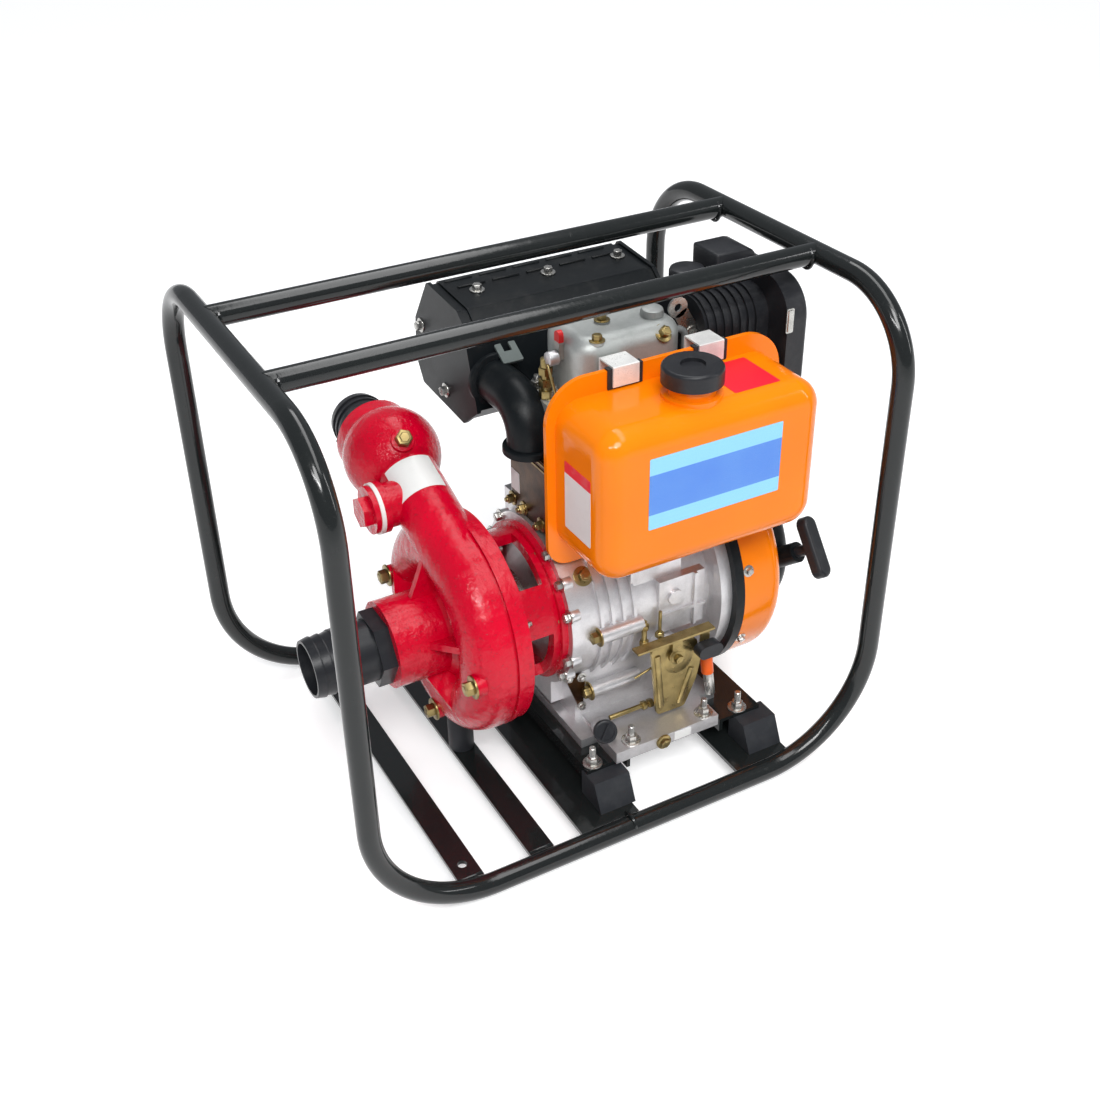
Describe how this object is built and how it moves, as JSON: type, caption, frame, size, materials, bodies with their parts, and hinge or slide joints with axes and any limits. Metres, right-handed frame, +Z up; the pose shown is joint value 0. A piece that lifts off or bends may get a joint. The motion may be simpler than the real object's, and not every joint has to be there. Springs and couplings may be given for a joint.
{
  "type": "diesel water pump",
  "caption": "Diesel-driven volute water pump in a tube carrying frame, with suction and discharge hose barbs, fuel tank, muffler, air filter and recoil starter.",
  "frame": {"origin": "centre of the frame's footprint, on the floor", "axes": "+X along the shaft from pump to recoil starter, -Y the fuel tank side, +Z up"},
  "size_m": [0.685, 0.525, 0.615],
  "materials": {
    "frame_black": "glossy black paint",
    "pump_red": "glossy red paint over cast iron",
    "rubber": "matte",
    "black_plastic": "moulded black plastic",
    "steel": "machined",
    "cast_aluminium": "as cast",
    "tank_orange": "glossy orange paint",
    "shroud_brown": "brown coat",
    "heat_black": "satin black heat paint",
    "zinc_yellow": "yellow zinc plating",
    "seal_white": "white sealing ring",
    "red_plastic": "red lever",
    "hose_grey": "grey hose"
  },
  "bodies": {
    "frame": {"left_hoop": "frame_black", "right_hoop": "frame_black", "front_rail": "frame_black", "back_rail": "frame_black", "top_rail_front": "frame_black", "top_rail_back": "frame_black", "cross_straps": "frame_black", "base_plates": "frame_black", "engine_channels": "frame_black", "rubber_mounts": "rubber", "pump_foot": "rubber", "pump_casing": "pump_red", "casing_cover": "pump_red", "priming_seal": "seal_white", "priming_plug": "pump_red", "check_valve": "pump_red", "suction_barb": "black_plastic", "discharge_barb": "black_plastic", "lantern": "pump_red", "crankcase": "cast_aluminium", "gear_cover": "cast_aluminium", "cylinder_block": "shroud_brown", "cylinder_head": "cast_aluminium", "rocker_cover": "cast_aluminium", "muffler": "heat_black", "muffler_shield": "heat_black", "exhaust_elbow": "heat_black", "air_filter": "black_plastic", "filter_cover": "black_plastic", "fuel_tank": "tank_orange", "tank_hooks": "steel", "intake_duct": "black_plastic", "cowl_plate": "heat_black", "fan_cowl": "tank_orange", "recoil_cover": "heat_black", "recoil_handle": "black_plastic", "control_plate": "zinc_yellow", "hook_pads": "rubber", "injection_pipe": "zinc_yellow", "return_hose": "hose_grey"},
    "shaft": {"drive_shaft": "steel"},
    "throttle": {"throttle_lever": "zinc_yellow", "throttle_knob": "black_plastic"},
    "decompression": {"decompression_lever": "red_plastic"},
    "tank_cap": {"fuel_cap": "black_plastic"}
  },
  "joints": [
    {"name": "shaft_turn", "type": "hinge", "parent": "frame", "child": "shaft", "pos_m": [-0.054, -0.028, 0.213], "axis": [1, 0, 0], "continuous": true},
    {"name": "throttle_swing", "type": "hinge", "parent": "frame", "child": "throttle", "pos_m": [0.106, -0.1643, 0.166], "axis": [0, 1, 0], "range_deg": [-12, 12]},
    {"name": "decompression_turn", "type": "hinge", "parent": "frame", "child": "decompression", "pos_m": [0.0277, -0.03, 0.524], "axis": [1, 0, 0], "range_deg": [0, 60]},
    {"name": "cap_turn", "type": "hinge", "parent": "frame", "child": "tank_cap", "pos_m": [0.117, -0.157, 0.535], "axis": [0, 0, 1], "range_deg": [0, 90]}
  ]
}
